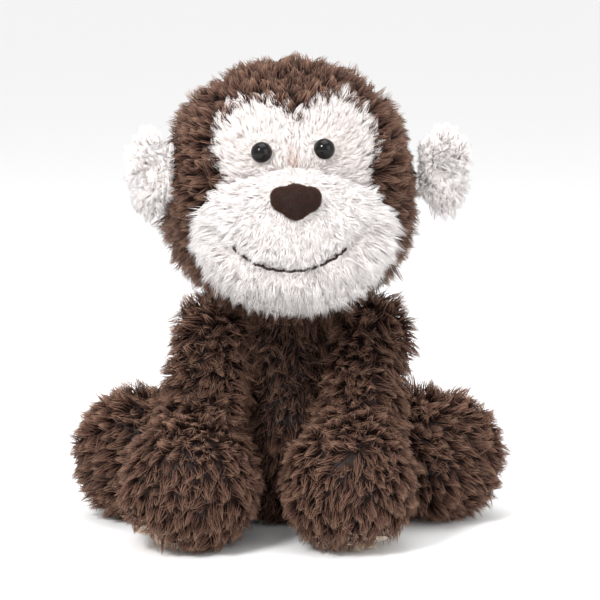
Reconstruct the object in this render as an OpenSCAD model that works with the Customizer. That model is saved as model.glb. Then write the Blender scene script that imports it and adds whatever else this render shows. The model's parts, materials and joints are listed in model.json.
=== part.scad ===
// Seated stuffed monkey, sewn from long-pile plush panels over soft stuffing.
// +Z is up, the face looks toward -Y, and +X is to the right of someone who faces the toy.
// The origin is the centre of the flat seat, on the surface that the toy sits on.

/* [Head] */
// Radius of the stuffed head over its pile
head_r = 65; // [60:0.5:65]
// Height of the head's centre above the seat
head_z = 171.7; // [171:0.1:176]
// How far the head's centre sits in front of the seat's centre
head_forward = 10; // [8:0.5:12]
// Half width of the muzzle
muzzle_r = 50; // [46:0.5:51]
// Half height of the muzzle
muzzle_half_h = 39.5; // [37:0.1:40]
// Diameter of each eye
eye_d = 10.6; // [9:0.2:12]
// Width of the nose across its upper lobes
nose_w = 25; // [20:0.5:27]
// Half height of each ear
ear_half_h = 22; // [19:0.5:23]

/* [Torso] */
// Height of the torso's flat top
torso_h = 101; // [100:0.5:101.5]
// Widest radius of the belly
belly_r = 43; // [40:0.5:43]
// Radius of the flat seat
seat_r = 34; // [30:1:36]

/* [Arms] */
// Radius of the left paw
paw_left_r = 34; // [31:0.5:34.5]
// Radius of the right paw
paw_right_r = 33; // [31:0.5:34]
// Radius of the upper arm
arm_r = 18.5; // [17:0.1:18.8]

/* [Legs] */
// Radius of the left foot
foot_left_r = 34; // [31:0.5:34]
// Radius of the right foot
foot_right_r = 33; // [31:0.5:33]

/* [Tail] */
// Radius of the tail
tail_r = 8.2; // [6.5:0.1:8.5]
// Radius of the tail's curl along its middle
tail_curl_r = 27; // [24:1:30]

/* [Sewing] */
// Thickness of a plush panel with its pile pressed into the stuffing
panel_t = 6; // [5:0.5:7]
// Gap between a stuffing core and its panels
stuffing_gap = 0.2; // [0.15:0.05:0.4]
// Running gap at a sewn joint
joint_gap = 0.4; // [0.35:0.05:0.5]

/* [Hidden] */
$fn = 96;
brown = [0.26, 0.17, 0.14];
brown_light = [0.34, 0.23, 0.19];
white_plush = [0.93, 0.91, 0.90];
cream = [0.86, 0.80, 0.74];
filling = [0.97, 0.97, 0.95];
black_gloss = [0.03, 0.02, 0.02];
nose_brown = [0.24, 0.14, 0.11];
big = 1000;

head_c = [-2, -head_forward, head_z];
neck_c = [0, 0, 108];
neck_core_r = 17.6;
neck_band_in = 18;
neck_band_out = 20;
neck_socket_r = neck_band_out + joint_gap;
neck_band_z = [torso_h + 0.5, 114];
gusset_half_w = 20;

lobe_r = 21.5;
lobe_left = [-15.5, 195.5];
lobe_right = [17.5, 196];
cheek_left_x = -32;
cheek_right_x = 36.5;
cheek_low_z = 150;

muzzle_c = [0, -52, 154];
muzzle_gap = 0.05;
smile_c = [-1.5, 182.5];
smile_r = 43;
stitch_r = 0.7;
stitch_len = 3.6;
stitch_count = 11;
stitch_span = 70;

eye_left_c = [-15.2, 194.2];
eye_right_c = [15.2, 195.7];
eye_stem_r = 1.5;
eye_seat = 0.35;
eye_washer_r = 5;
eye_washer_t = 1.4;

nose_c = [1.5, 172.2];
nose_lobe_r = 5.4;
nose_tip_r = 5.6;
nose_drop = 6;

shoulder_left = [-44, -8, 93];
shoulder_right = [44, -8, 93];
paw_left = [-51, -81, 31];
paw_right = [27, -81, 31];
shoulder_ball_r = 17.6;
shoulder_cap_in = 18;
shoulder_cap_out = 19.1;
shoulder_recess_r = 19.5;
shoulder_cap_w = 5;
pad_tilt_left = 30;
pad_tilt_right = 6;
pad_depth = 0.66;

hip_left = [-30, 0, 34];
hip_right = [30, 0, 34];
foot_left = [-80, -10, 32];
foot_right = [76, -14, 32];
hip_ball_r = 24;
hip_recess_r = hip_ball_r + joint_gap + 0.2;

pouch_c = [0, 16, 17.5];
pouch_r = 12;

tail_root = [0, 42, 9.6];
tail_ball_r = 8.9;
tail_recess_r = tail_ball_r + joint_gap;
tail_skin_t = 3;
tail_angle = 150;
tail_tip_back = 3;
tail_tip_r = tail_r + 0.7;

ear_up = 7.3;
ear_front_left = 21;
ear_front_right = 6;
ear_yaw_left = 30;
ear_yaw_right = 5;
ear_mid = 11;
ear_half_w = 12.5;
ear_half_t = 6.5;
ear_root_r = 3;
ear_root_h = 26;
ear_root_gap = 0.7;
ear_dish_r = 30;
ear_dish_floor = 2.4;

// ---------- shared helpers ----------

// Turns +Z into the direction d and moves the origin to p
module toward(p, d)
  translate(p)
    rotate([0, acos(d[2] / norm(d)), atan2(d[1], d[0])])
      children();

// Everything on the side of a plane that the direction d points to
module half_space(p, d)
  toward(p, d)
    translate([-big / 2, -big / 2, 0])
      cube([big, big, big]);

// A ball of stuffing or plush
module ball(p, r)
  translate(p)
    sphere(r = r);

// ---------- torso ----------

// Radius of the torso at each height between the seat and the neck
torso_outline = [
  [seat_r + 5, 5], [belly_r - 1.2, 14], [belly_r, 26], [belly_r - 0.3, 38],
  [belly_r - 4.2, 52], [belly_r - 10.6, 65], [belly_r - 15.4, 76], [belly_r - 18.4, 88],
  [belly_r - 20.5, 96]
];
neck_base_r = belly_r - 23;

// The torso as one solid, made smaller all round by inset
module torso_form(inset)
  rotate_extrude()
    polygon(concat(
      [[0, inset], [seat_r + (inset > 0 ? 1 - inset : 0), inset]],
      [for (p = torso_outline) if (p[1] > inset + 1 && p[1] < torso_h - inset - 1) [p[0] - inset, p[1]]],
      [[neck_base_r + (inset > 0 ? 1 - inset : 0), torso_h - inset], [0, torso_h - inset]]
    ));

// A round pocket whose pole points along the direction d
module pocket(p, r, d)
  toward(p, d)
    sphere(r = r);

// The pockets in the torso that the limbs and the tail turn in
module torso_pockets() {
  pocket(shoulder_left, shoulder_recess_r, [1, 0, 0]);
  pocket(shoulder_right, shoulder_recess_r, [-1, 0, 0]);
  pocket(hip_left, hip_recess_r, [1, 0, 0]);
  pocket(hip_right, hip_recess_r, [-1, 0, 0]);
  pocket(tail_root, tail_recess_r, [0, -1, 0]);
}

module torso_shell()
  difference() {
    torso_form(0);
    torso_form(panel_t);
    torso_pockets();
    translate([-big / 2, -big / 2, -1])
      cube([big, big, panel_t + 1]);
  }

module torso_front()
  color(brown)
    intersection() {
      torso_shell();
      half_space([0, 0, 0], [0, -1, 0]);
    }

module torso_back(side)
  color(brown)
    intersection() {
      torso_shell();
      half_space([0, 0, 0], [0, 1, 0]);
      half_space([0, 0, 0], [side, 0, 0]);
    }

module torso_back_left() torso_back(-1);

module torso_back_right() torso_back(1);

module seat_panel()
  color(brown)
    difference() {
      intersection() {
        torso_form(0);
        translate([0, 0, panel_t / 2])
          cube([big, big, panel_t], center = true);
      }
      torso_pockets();
    }

module torso_stuffing()
  color(filling)
    difference() {
      torso_form(panel_t + stuffing_gap);
      torso_pockets();
      ball(pouch_c, pouch_r + stuffing_gap);
    }

module bean_pouch()
  color(cream)
    intersection() {
      ball(pouch_c, pouch_r);
      half_space([0, 0, panel_t + stuffing_gap], [0, 0, 1]);
    }

// ---------- neck ----------

module neck_stuffing()
  color(filling)
    intersection() {
      ball(neck_c, neck_core_r);
      half_space([0, 0, torso_h], [0, 0, 1]);
    }

module neck_band()
  color(brown)
    intersection() {
      difference() {
        ball(neck_c, neck_band_out);
        ball(neck_c, neck_band_in);
      }
      translate([-big / 2, -big / 2, neck_band_z[0]])
        cube([big, big, neck_band_z[1] - neck_band_z[0]]);
    }

// ---------- head ----------

// Outline of the white face seen from the front, as a solid running forward from the head's centre
module face_prism()
  translate([0, head_c[1], 0])
    rotate([90, 0, 0])
      linear_extrude(height = big)
        union() {
          translate(lobe_left)
            circle(r = lobe_r);
          translate(lobe_right)
            circle(r = lobe_r);
          translate([cheek_left_x, cheek_low_z])
            square([cheek_right_x - cheek_left_x, lobe_left[1] - cheek_low_z]);
        }

module head_shell()
  difference() {
    ball(head_c, head_r);
    ball(head_c, head_r - panel_t);
    ball(neck_c, neck_socket_r);
  }

// The slab that the centre panel of the head is cut from
module gusset_slab()
  translate([head_c[0] - gusset_half_w, -big / 2, 0])
    cube([2 * gusset_half_w, big, big]);

module head_gusset()
  color(brown_light)
    difference() {
      intersection() {
        head_shell();
        gusset_slab();
      }
      face_prism();
    }

module head_side(side)
  color(brown)
    difference() {
      intersection() {
        head_shell();
        half_space([head_c[0] + side * gusset_half_w, 0, 0], [side, 0, 0]);
      }
      face_prism();
    }

module head_side_left() head_side(-1);

module head_side_right() head_side(1);

// Where an eye's stem meets the face, with +Z pointing out of the head
module at_eye(place) {
  across = place[0] - head_c[0];
  up = place[1] - head_c[2];
  out = [across, -sqrt(head_r * head_r - across * across - up * up), up];
  toward(head_c + out, out)
    children();
}

module eye_hole(place)
  at_eye(place)
    translate([0, 0, -2 * panel_t])
      cylinder(r = eye_stem_r + 0.1, h = 3 * panel_t);

module face(side, place)
  color(white_plush)
    difference() {
      intersection() {
        head_shell();
        face_prism();
        half_space([0, 0, 0], [side, 0, 0]);
      }
      eye_hole(place);
    }

module face_left() face(-1, eye_left_c);

module face_right() face(1, eye_right_c);

module eye(place)
  color(black_gloss)
    at_eye(place)
      union() {
        intersection() {
          translate([0, 0, eye_seat])
            sphere(d = eye_d);
          translate([0, 0, eye_seat])
            cylinder(d = 2 * eye_d, h = eye_d);
        }
        translate([0, 0, -panel_t - 3])
          cylinder(r = eye_stem_r, h = panel_t + 3 + eye_seat + 0.5);
      }

module eye_left() eye(eye_left_c);

module eye_right() eye(eye_right_c);

// Distance from the head's surface in to the washer's outer face
washer_depth = panel_t + 0.5;

module eye_washer(place)
  color(cream)
    at_eye(place)
      translate([0, 0, -washer_depth - eye_washer_t])
        difference() {
          cylinder(r = eye_washer_r, h = eye_washer_t);
          translate([0, 0, -1])
            cylinder(r = eye_stem_r + 0.05, h = eye_washer_t + 2);
        }

module eye_washer_left() eye_washer(eye_left_c);

module eye_washer_right() eye_washer(eye_right_c);

module washer_pocket(place)
  at_eye(place)
    translate([0, 0, -washer_depth - 2.6])
      cylinder(r = eye_washer_r + 0.3, h = 6);

module head_stuffing()
  color(filling)
    difference() {
      ball(head_c, head_r - panel_t - stuffing_gap);
      ball(neck_c, neck_socket_r);
      washer_pocket(eye_left_c);
      washer_pocket(eye_right_c);
    }

// ---------- muzzle ----------

// The muzzle as a flattened ball, made smaller all round by inset
module muzzle_form(inset)
  translate(muzzle_c)
    rotate_extrude()
      polygon([for (a = [-90 : 7.5 : 90])
        [(muzzle_r - inset) * cos(a), (muzzle_half_h - inset) * sin(a)]]);

module muzzle_shell()
  difference() {
    muzzle_form(0);
    muzzle_form(panel_t);
    ball(head_c, head_r + muzzle_gap);
  }

// The disc above the smile, as a solid running forward
module smile_prism()
  translate([smile_c[0], 0, smile_c[1]])
    rotate([90, 0, 0])
      cylinder(r = smile_r, h = big);

module muzzle_upper()
  color(white_plush)
    intersection() {
      muzzle_shell();
      smile_prism();
    }

module chin()
  color(white_plush)
    difference() {
      muzzle_shell();
      smile_prism();
    }

module muzzle_stuffing()
  color(filling)
    difference() {
      muzzle_form(panel_t + stuffing_gap);
      ball(head_c, head_r + muzzle_gap);
    }

// A point on the muzzle's front at sideways place x and height z, pushed out by lift
function muzzle_point(x, z, lift) =
  let (
    a = (x - muzzle_c[0]) / (muzzle_r + lift),
    b = (z - muzzle_c[2]) / (muzzle_half_h + lift)
  )
  [x, muzzle_c[1] - (muzzle_r + lift) * sqrt(1 - a * a - b * b), z];

// A point on the smile at the angle a from straight down
function smile_point(a, lift) =
  muzzle_point(smile_c[0] + smile_r * sin(a), smile_c[1] - smile_r * cos(a), lift);

module mouth_stitch()
  color(nose_brown)
    for (i = [0 : stitch_count - 1]) {
      a = stitch_span * (i / (stitch_count - 1) - 0.5);
      here = smile_point(a, stitch_r + 0.2);
      ahead = smile_point(a + 1, stitch_r + 0.2);
      toward(here, ahead - here)
        translate([0, 0, -stitch_len / 2])
          union() {
            cylinder(r = stitch_r, h = stitch_len, $fn = 24);
            sphere(r = stitch_r, $fn = 24);
            translate([0, 0, stitch_len])
              sphere(r = stitch_r, $fn = 24);
          }
    }

module nose() {
  lobe_x = nose_w / 2 - nose_lobe_r;
  color(nose_brown)
    difference() {
      hull() {
        for (side = [-1, 1])
          translate(muzzle_point(nose_c[0] + side * lobe_x, nose_c[1] + 2.6, 1.6))
            sphere(r = nose_lobe_r, $fn = 32);
        translate(muzzle_point(nose_c[0], nose_c[1] + 2.4, 2.4))
          sphere(r = nose_lobe_r, $fn = 32);
        translate(muzzle_point(nose_c[0], nose_c[1] - nose_drop + 3.4, 1.4))
          sphere(r = nose_tip_r, $fn = 32);
      }
      muzzle_form(-0.05);
    }
}

// ---------- ears ----------

// The middle of an ear's root, on the side -1 or 1, turned forward by front degrees
function ear_root(side, front) =
  let (reach = head_r + ear_root_r + ear_root_gap)
  head_c + reach * [side * cos(front) * cos(ear_up), -sin(front) * cos(ear_up), sin(ear_up)];

// Places an ear built facing +Z, which reaches from its root toward -X
module at_ear(side, front, yaw)
  translate(ear_root(side, front))
    mirror([side > 0 ? 1 : 0, 0, 0])
      rotate([90, 0, -yaw])
        children();

module ear_form() {
  difference() {
    translate([-ear_mid, 0, 0])
      scale([ear_half_w, ear_half_h, ear_half_t])
        sphere(r = 1);
    translate([-ear_mid - 1, 0, ear_dish_floor + ear_dish_r])
      sphere(r = ear_dish_r);
  }
  translate([0, ear_root_h / 2, 0])
    rotate([90, 0, 0])
      cylinder(r = ear_root_r, h = ear_root_h);
}

// The half of an ear that faces forward for which = 1, or backward for -1
module ear_panel(side, front, yaw, which)
  color(white_plush)
    at_ear(side, front, yaw)
      intersection() {
        ear_form();
        half_space([0, 0, 0], [0, 0, which]);
      }

module ear_left_front() ear_panel(-1, ear_front_left, ear_yaw_left, 1);

module ear_left_back() ear_panel(-1, ear_front_left, ear_yaw_left, -1);

module ear_right_front() ear_panel(1, ear_front_right, ear_yaw_right, 1);

module ear_right_back() ear_panel(1, ear_front_right, ear_yaw_right, -1);

// ---------- limbs ----------

// Outline of a limb: a ball in the joint, a waist, a tube that widens, and a round end.
// Both ends are a small flat disc, so that a seam crosses a face there and not a point.
function limb_outline(ball_r, tube_r, end_r, reach, inset) =
  let (
    pole_a = 77,
    waist_a = tube_r > ball_r ? 27 : 35,
    waist_s = (ball_r - inset) * sin(waist_a),
    waist_r = (ball_r - inset) * cos(waist_a),
    mid_r = tube_r - inset,
    end_a = -42,
    tip_a = 84,
    end_s = reach + (end_r - inset) * sin(end_a),
    flare_r = (end_r - inset) * cos(end_a)
  )
  concat(
    [[0, (inset - ball_r) * sin(pole_a)]],
    [for (a = [-pole_a : 13 : waist_a]) [(ball_r - inset) * cos(a), (ball_r - inset) * sin(a)]],
    [for (k = [1 : 5])
      let (t = k / 6)
      [
        mid_r + (waist_r - mid_r) * pow(1 - t, 3) + (flare_r - mid_r) * pow(t, 4),
        waist_s + (end_s - waist_s) * t
      ]],
    [for (a = [end_a : 18 : tip_a]) [(end_r - inset) * cos(a), reach + (end_r - inset) * sin(a)]],
    [[0, reach + (end_r - inset) * sin(tip_a)]]
  );

// A limb as one solid from its joint to its end, cut flat where it rests
module limb_form(joint, end, ball_r, tube_r, end_r, inset) {
  along = end - joint;
  intersection() {
    toward(joint, along)
      rotate_extrude()
        polygon(limb_outline(ball_r, tube_r, end_r, norm(along), inset));
    half_space([0, 0, inset], [0, 0, 1]);
  }
}

module limb_shell(joint, end, ball_r, tube_r, end_r)
  difference() {
    limb_form(joint, end, ball_r, tube_r, end_r, 0);
    limb_form(joint, end, ball_r, tube_r, end_r, panel_t);
  }

// The part of a paw that its palm pad covers
module palm_region(paw, paw_r, tilt, side) {
  down = [side * sin(tilt), 0, -cos(tilt)];
  half_space(paw + pad_depth * paw_r * down, down);
}

// The side of a limb's long seam that one panel lies on
module seam_side(joint, end, which) {
  along = end - joint;
  half_space(joint, which * cross(along, [1, 0, 0]));
}

module arm_panel(joint, paw, paw_r, tilt, side, which)
  color(which > 0 ? brown_light : brown)
    difference() {
      intersection() {
        limb_shell(joint, paw, shoulder_ball_r, arm_r, paw_r);
        seam_side(joint, paw, which);
      }
      palm_region(paw, paw_r, tilt, side);
    }

module palm_pad(joint, paw, paw_r, tilt, side)
  color(cream)
    intersection() {
      limb_shell(joint, paw, shoulder_ball_r, arm_r, paw_r);
      palm_region(paw, paw_r, tilt, side);
    }

module arm_stuffing(joint, paw, paw_r)
  color(filling)
    limb_form(joint, paw, shoulder_ball_r, arm_r, paw_r, panel_t + stuffing_gap);

module shoulder_seam(joint, side)
  color(brown)
    intersection() {
      difference() {
        ball(joint, shoulder_cap_out);
        ball(joint, shoulder_cap_in);
      }
      toward(joint, [-side, 0, 0])
        cylinder(r = shoulder_cap_w, h = shoulder_recess_r + 1);
    }

module arm_left_front() arm_panel(shoulder_left, paw_left, paw_left_r, pad_tilt_left, -1, 1);

module arm_left_back() arm_panel(shoulder_left, paw_left, paw_left_r, pad_tilt_left, -1, -1);

module palm_pad_left() palm_pad(shoulder_left, paw_left, paw_left_r, pad_tilt_left, -1);

module arm_left_stuffing() arm_stuffing(shoulder_left, paw_left, paw_left_r);

module shoulder_seam_left() shoulder_seam(shoulder_left, -1);

module arm_right_front() arm_panel(shoulder_right, paw_right, paw_right_r, pad_tilt_right, 1, 1);

module arm_right_back() arm_panel(shoulder_right, paw_right, paw_right_r, pad_tilt_right, 1, -1);

module palm_pad_right() palm_pad(shoulder_right, paw_right, paw_right_r, pad_tilt_right, 1);

module arm_right_stuffing() arm_stuffing(shoulder_right, paw_right, paw_right_r);

module shoulder_seam_right() shoulder_seam(shoulder_right, 1);

// ---------- legs ----------

leg_tube_r = 17;

// The half of a leg in front of its long seam for which = 1, or behind it for -1
module leg_panel(joint, foot, foot_r, which)
  color(which > 0 ? brown_light : brown) {
    along = foot - joint;
    side = along[0] > 0 ? which : -which;
    intersection() {
      limb_shell(joint, foot, hip_ball_r, leg_tube_r, foot_r);
      half_space(joint, side * [along[1], -along[0], 0]);
    }
  }

module leg_stuffing(joint, foot, foot_r)
  color(filling)
    limb_form(joint, foot, hip_ball_r, leg_tube_r, foot_r, panel_t + stuffing_gap);

module leg_left_front() leg_panel(hip_left, foot_left, foot_left_r, 1);

module leg_left_back() leg_panel(hip_left, foot_left, foot_left_r, -1);

module leg_left_stuffing() leg_stuffing(hip_left, foot_left, foot_left_r);

module leg_right_front() leg_panel(hip_right, foot_right, foot_right_r, 1);

module leg_right_back() leg_panel(hip_right, foot_right, foot_right_r, -1);

module leg_right_stuffing() leg_stuffing(hip_right, foot_right, foot_right_r);

// ---------- tail ----------

// The tail as one solid, made smaller all round by inset
module tail_form(inset) {
  ball(tail_root, tail_ball_r - inset);
  translate(tail_root + [tail_curl_r, 0, 0])
    rotate([0, 0, 180 - tail_angle])
      rotate_extrude(angle = tail_angle)
        translate([tail_curl_r, 0])
          circle(r = tail_r - inset);
  translate(tail_root + [tail_curl_r, 0, 0])
    rotate([0, 0, 180 - tail_angle + tail_tip_back])
      translate([tail_curl_r, 0, 0])
        sphere(r = tail_tip_r - inset);
}

module tail_skin()
  color(brown)
    difference() {
      tail_form(0);
      tail_form(tail_skin_t);
    }

module tail_stuffing()
  color(filling)
    tail_form(tail_skin_t + stuffing_gap);

torso_front();
torso_back_left();
torso_back_right();
seat_panel();
torso_stuffing();
bean_pouch();
neck_stuffing();
neck_band();
head_gusset();
head_side_left();
head_side_right();
face_left();
face_right();
head_stuffing();
muzzle_upper();
chin();
muzzle_stuffing();
nose();
mouth_stitch();
eye_left();
eye_right();
eye_washer_left();
eye_washer_right();
ear_left_front();
ear_left_back();
ear_right_front();
ear_right_back();
shoulder_seam_left();
arm_left_front();
arm_left_back();
palm_pad_left();
arm_left_stuffing();
shoulder_seam_right();
arm_right_front();
arm_right_back();
palm_pad_right();
arm_right_stuffing();
leg_left_front();
leg_left_back();
leg_left_stuffing();
leg_right_front();
leg_right_back();
leg_right_stuffing();
tail_skin();
tail_stuffing();
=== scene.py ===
"""Looks of the seated stuffed monkey: sewn skins, long pile, glossy eyes, velour nose and stitched smile.

Lengths are in metres. The pile is real geometry: every strand is a thin closed spike with its root in the
skin. Each strand's UV map holds its shade across (u) and its place from root to tip (v), and the plush
materials read their colours from that.
"""

import json
import math

import bmesh
import bpy
import numpy as np
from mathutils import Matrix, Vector
from mathutils.bvhtree import BVHTree
from mathutils.kdtree import KDTree


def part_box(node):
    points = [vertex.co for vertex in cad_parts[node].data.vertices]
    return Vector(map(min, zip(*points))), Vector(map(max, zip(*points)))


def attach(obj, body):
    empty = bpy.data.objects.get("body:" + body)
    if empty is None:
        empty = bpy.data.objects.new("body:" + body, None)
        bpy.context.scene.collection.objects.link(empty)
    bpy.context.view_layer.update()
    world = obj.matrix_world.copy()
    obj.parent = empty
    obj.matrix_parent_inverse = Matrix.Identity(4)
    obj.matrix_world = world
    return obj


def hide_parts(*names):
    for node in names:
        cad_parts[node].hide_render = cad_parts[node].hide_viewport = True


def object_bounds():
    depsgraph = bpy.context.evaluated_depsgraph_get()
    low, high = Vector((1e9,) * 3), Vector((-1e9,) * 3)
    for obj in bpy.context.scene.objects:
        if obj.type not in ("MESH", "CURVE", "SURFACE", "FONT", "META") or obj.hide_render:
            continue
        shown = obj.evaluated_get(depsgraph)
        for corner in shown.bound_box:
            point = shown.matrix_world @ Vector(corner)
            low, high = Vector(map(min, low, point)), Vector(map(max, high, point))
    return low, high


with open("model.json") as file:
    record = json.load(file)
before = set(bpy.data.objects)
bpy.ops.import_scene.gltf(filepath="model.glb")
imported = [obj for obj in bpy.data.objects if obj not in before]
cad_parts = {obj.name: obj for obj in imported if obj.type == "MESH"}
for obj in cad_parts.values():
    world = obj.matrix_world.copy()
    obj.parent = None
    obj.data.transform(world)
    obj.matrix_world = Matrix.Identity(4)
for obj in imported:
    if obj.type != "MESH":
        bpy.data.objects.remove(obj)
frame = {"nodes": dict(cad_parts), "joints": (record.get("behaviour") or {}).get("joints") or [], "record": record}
cad_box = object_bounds()
rng = np.random.default_rng(537)

UV_NAME = "OFBake"
UP = np.array([0.0, 0.0, 1.0])
DOWN = -UP
RIGHT = np.array([1.0, 0.0, 0.0])
SIDES = {"left": -1.0, "right": 1.0}
DENSITY = 1.0
THICKEN = 1.0
FLOOR_GAP = 0.0004
PAW_R = 0.0335
PAW_HEIGHT = 0.031
OUTSET = -0.0022  # skins of long pile lie this far outside their stuffing
PUFF_CAP = 0.0022  # the furthest that the cloth simulation moves a point
PUFF_FRAMES = 20
CLOTH_T = 0.0008
FILL_DEPTH = 0.0016
STITCHES = 11
STITCH_R = 0.0008
SMILE_END = 56  # degrees from the lowest point of the smile
LEFT_EAR_SHIFT = 0.0035


# ---------- places read from the frame ----------


def corners(*nodes):
    """Lowest and highest corner of some CAD nodes as arrays."""
    boxes = [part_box(n) for n in nodes]
    return np.min([np.array(b[0]) for b in boxes], axis=0), np.max([np.array(b[1]) for b in boxes], axis=0)


def joint_place(name):
    """Where a joint's axis passes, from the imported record."""
    return next(np.array(j["pos_m"]) for j in frame["joints"] if j["name"] == name)


side_lo, side_hi = corners("head_side_left", "head_side_right")
gusset_hi = corners("head_gusset")[1]
head_r = (side_hi[0] - side_lo[0]) / 2
head_c = np.array([(side_hi[0] + side_lo[0]) / 2, gusset_hi[1] - head_r, gusset_hi[2] - head_r])
muzzle_lo, muzzle_hi = corners("muzzle_upper", "chin")
muzzle_c = (muzzle_lo + muzzle_hi) / 2
nose_lo, nose_hi = corners("nose")
nose_c = (nose_lo + nose_hi) / 2
eye_c = {s: sum(corners(f"eye_{s}")) / 2 for s in SIDES}
stitch_lo, stitch_hi = corners("mouth_stitch")
smile_half = (stitch_hi[0] - stitch_lo[0]) / 2
smile_rise = stitch_hi[2] - stitch_lo[2]
smile_r = (smile_half**2 + smile_rise**2) / (2 * smile_rise)
smile_c = np.array([(stitch_lo[0] + stitch_hi[0]) / 2, stitch_lo[2] + smile_r])
face_seam_x = (corners("face_left")[1][0] + corners("face_right")[0][0]) / 2
shoulder = {s: joint_place(f"{s}_arm_raise") for s in SIDES}
hip = {s: joint_place(f"{s}_leg_swing") for s in SIDES}
neck_c = joint_place("head_nod")


def paw_centre_of(s):
    """Centre of an arm's paw, which is round from side to side."""
    lo, _ = corners(f"arm_{s}_front", f"arm_{s}_back", f"palm_pad_{s}")
    pad_lo, pad_hi = corners(f"palm_pad_{s}")
    x = lo[0] + PAW_R if s == "left" else pad_lo[0] + (pad_hi[0] - pad_lo[0]) / 2
    return np.array([x, lo[1] + PAW_R, PAW_HEIGHT])


paw_centre = {s: paw_centre_of(s) for s in SIDES}


def foot_of(s):
    """Centre and radius of a foot, which is the deepest part of its leg from front to back."""
    lo, hi = corners(f"leg_{s}_front", f"leg_{s}_back")
    radius = (hi[2] - lo[2]) / 2 * 1.02
    x = lo[0] + radius if s == "left" else hi[0] - radius
    return np.array([x, (lo[1] + hi[1]) / 2 - 0.004, hi[2] - radius]), radius


foot = {s: foot_of(s) for s in SIDES}


# ---------- small vector helpers on rows ----------


def unit(v):
    return v / np.maximum(np.linalg.norm(v, axis=-1, keepdims=True), 1e-9)


def dot(a, b):
    return np.sum(a * b, axis=-1, keepdims=True)


def along_skin(normals, wanted):
    """The direction in the skin closest to the one wanted."""
    return unit(wanted - dot(wanted, normals) * normals)


def ease(x, low, high):
    """0 below low, 1 above high, smooth between."""
    t = np.clip((x - low) / (high - low), 0.0, 1.0)
    return t * t * (3 - 2 * t)


# ---------- skins from the CAD stuffing ----------


def welded_copy(name, nodes):
    """Copies of CAD nodes joined into one new mesh object, with the vertices welded."""
    bm = bmesh.new()
    for n in nodes:
        bm.from_mesh(frame["nodes"][n].data)
    bmesh.ops.remove_doubles(bm, verts=bm.verts, dist=1e-6)
    mesh = bpy.data.meshes.new(name)
    bm.to_mesh(mesh)
    bm.free()
    obj = bpy.data.objects.new(name, mesh)
    bpy.context.scene.collection.objects.link(obj)
    return obj


def add_ball(obj, centre, radius):
    """Adds a ball to a mesh that is about to be remeshed."""
    bm = bmesh.new()
    bm.from_mesh(obj.data)
    made = bmesh.ops.create_icosphere(bm, subdivisions=4, radius=radius)
    bmesh.ops.translate(bm, verts=made["verts"], vec=Vector(centre))
    bm.to_mesh(obj.data)
    bm.free()


def bake_modifiers(obj):
    """Replaces an object's mesh by what its modifiers make of it."""
    bpy.context.view_layer.update()
    evaluated = obj.evaluated_get(bpy.context.evaluated_depsgraph_get())
    mesh = bpy.data.meshes.new_from_object(evaluated)
    obj.modifiers.clear()
    old = obj.data
    obj.data = mesh
    bpy.data.meshes.remove(old)


def places(mesh):
    co = np.zeros(len(mesh.vertices) * 3, np.float32)
    mesh.vertices.foreach_get("co", co)
    return co.reshape(-1, 3).astype(float)


def vertex_normals(mesh):
    no = np.zeros(len(mesh.vertices) * 3, np.float32)
    mesh.vertices.foreach_get("normal", no)
    return no.reshape(-1, 3).astype(float)


def set_places(mesh, co):
    mesh.vertices.foreach_set("co", co.astype(np.float32).ravel())
    mesh.update()


def remeshed(obj, voxel, smooth_turns, inset=0.0):
    """Voxel remesh and smoothing of a skin, moved inward by inset."""
    remesh = obj.modifiers.new("remesh", "REMESH")
    remesh.mode = "VOXEL"
    remesh.voxel_size = voxel
    smooth = obj.modifiers.new("smooth", "SMOOTH")
    smooth.factor = 0.5
    smooth.iterations = smooth_turns
    bake_modifiers(obj)
    if inset:
        set_places(obj.data, places(obj.data) - inset * vertex_normals(obj.data))
    return obj


def mesh_tree(mesh):
    """A search tree over one mesh."""
    return BVHTree.FromPolygons([v.co for v in mesh.vertices], [tuple(p.vertices) for p in mesh.polygons])


def nearest_panel(points, panels):
    """Which of the CAD panels lies closest to each point."""
    panel_trees = [mesh_tree(frame["nodes"][p].data) for p in panels]
    return np.array([int(np.argmin([t.find_nearest(Vector(p))[3] for t in panel_trees])) for p in points])


def face_centres(mesh):
    centres = np.zeros(len(mesh.polygons) * 3, np.float32)
    mesh.polygons.foreach_get("center", centres)
    return centres.reshape(-1, 3).astype(float)


def pin_seams(obj, panels):
    """A vertex group that holds the seams: vertices between faces of different panels."""
    label = nearest_panel(face_centres(obj.data), panels)
    touched = [set() for _ in obj.data.vertices]
    for polygon, value in zip(obj.data.polygons, label):
        for v in polygon.vertices:
            touched[v].add(value)
    group = obj.vertex_groups.new(name="seams")
    group.add([i for i, values in enumerate(touched) if len(values) > 1], 1.0, "REPLACE")


def inflate(objects):
    """Cloth simulation with air pressure and no gravity: the panels fill out between their pinned seams."""
    scene = bpy.context.scene
    before = {obj.name: places(obj.data) for obj in objects}
    for obj in objects:
        cloth = obj.modifiers.new("cloth", "CLOTH")
        settings = cloth.settings
        settings.quality = 4
        settings.mass = 0.3
        settings.tension_stiffness = 12
        settings.compression_stiffness = 12
        settings.bending_stiffness = 0.6
        settings.use_pressure = True
        settings.uniform_pressure_force = 4
        settings.effector_weights.gravity = 0
        settings.vertex_group_mass = "seams"
        cloth.collision_settings.use_collision = False
        cloth.collision_settings.use_self_collision = False
    for f in range(1, PUFF_FRAMES + 1):
        scene.frame_set(f)
    for obj in objects:
        evaluated = obj.evaluated_get(bpy.context.evaluated_depsgraph_get())
        moved = places(evaluated.to_mesh())
        evaluated.to_mesh_clear()
        obj.modifiers.clear()
        step = moved - before[obj.name]
        size = np.maximum(np.linalg.norm(step, axis=1, keepdims=True), 1e-9)
        set_places(obj.data, before[obj.name] + step * np.minimum(1.0, PUFF_CAP / size))
    scene.frame_set(1)


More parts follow.
